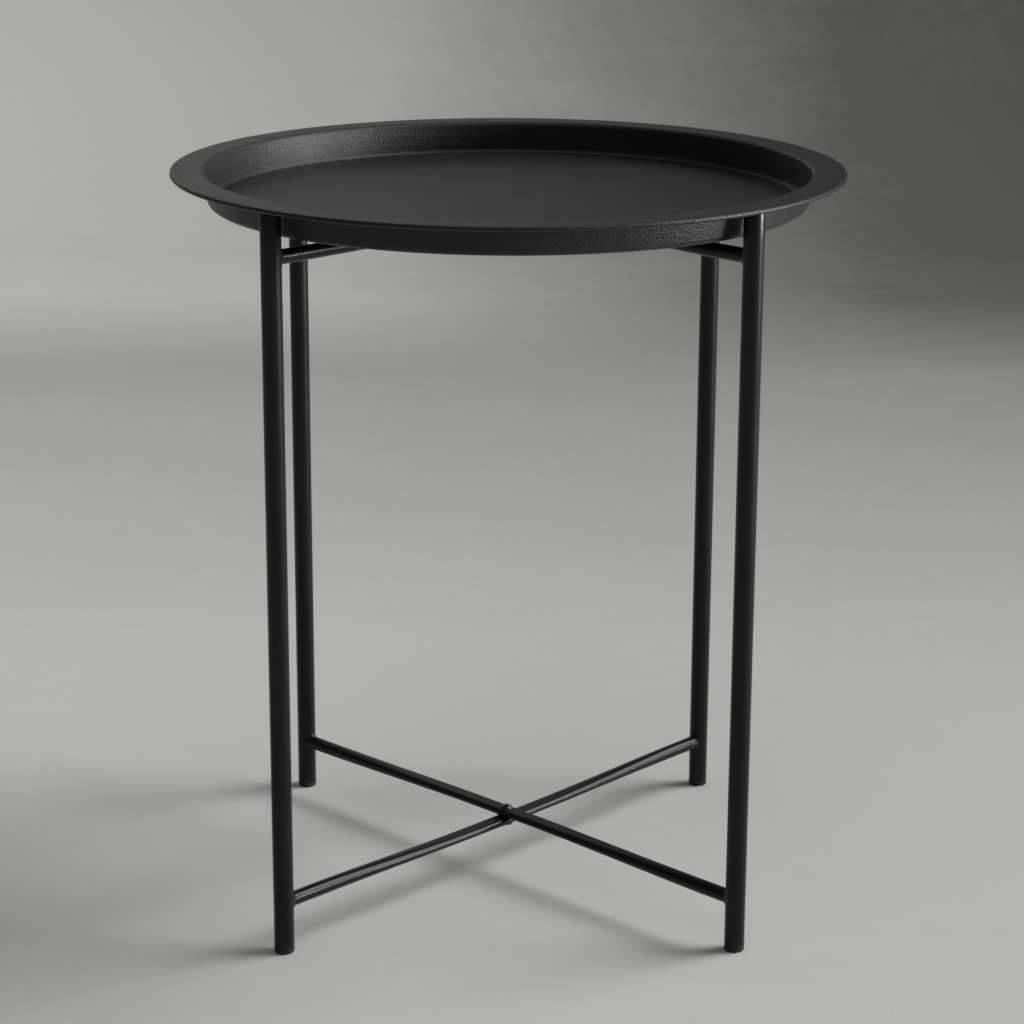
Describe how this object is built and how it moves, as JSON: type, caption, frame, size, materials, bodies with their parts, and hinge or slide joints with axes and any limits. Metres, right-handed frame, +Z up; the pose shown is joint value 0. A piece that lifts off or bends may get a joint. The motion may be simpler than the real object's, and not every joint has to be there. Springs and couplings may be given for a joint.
{
  "type": "folding tray table",
  "caption": "Small round side table: a lift-off steel tray with a flat rim on a scissor-folding base of two crossed tube frames.",
  "frame": {"origin": "on the floor, at the centre of the table, on the pivots' common axis", "axes": "+Z up along the pivot axis; -Y is the front; frame A runs from the front right leg to the back left leg, frame B from the front left leg to the back right leg"},
  "size_m": [0.47, 0.47, 0.523],
  "materials": {
    "tray_powder_coat": "fine textured matt powder coat",
    "frame_powder_coat": "satin powder coat",
    "weld_bead": "satin powder coat over a weld bead",
    "rivet_black": "satin black, worn on the crown",
    "washer_steel": "black coated steel",
    "pivot_nylon": "black nylon",
    "black_plastic": "moulded, finely textured"
  },
  "bodies": {
    "frame_a": {"leg_front_right": "frame_powder_coat", "foot_glide_front_right": "black_plastic", "leg_cap_front_right": "black_plastic", "leg_back_left": "frame_powder_coat", "foot_glide_back_left": "black_plastic", "leg_cap_back_left": "black_plastic", "lower_crossbar_a": "frame_powder_coat", "lower_welds_a": "weld_bead", "lower_pivot_rivet": "rivet_black", "lower_pivot_spacer": "pivot_nylon", "lower_pivot_washer": "washer_steel", "upper_crossbar_a": "frame_powder_coat", "upper_welds_a": "weld_bead", "upper_pivot_rivet": "rivet_black", "upper_pivot_spacer": "pivot_nylon", "upper_pivot_washer": "washer_steel"},
    "frame_b": {"leg_back_right": "frame_powder_coat", "foot_glide_back_right": "black_plastic", "leg_cap_back_right": "black_plastic", "leg_front_left": "frame_powder_coat", "foot_glide_front_left": "black_plastic", "leg_cap_front_left": "black_plastic", "lower_crossbar_b": "frame_powder_coat", "lower_welds_b": "weld_bead", "upper_crossbar_b": "frame_powder_coat", "upper_welds_b": "weld_bead"},
    "tray": {"tray_pan": "tray_powder_coat"}
  },
  "joints": [
    {"name": "fold", "type": "hinge", "parent": "frame_a", "child": "frame_b", "pos_m": [0, 0, 0.263], "axis": [0, 0, 1], "range_deg": [-78, 78]},
    {"name": "tray_lift", "type": "slide", "parent": "frame_a", "child": "tray", "axis": [0, 0, 1], "range_m": [0, 0.12]}
  ]
}
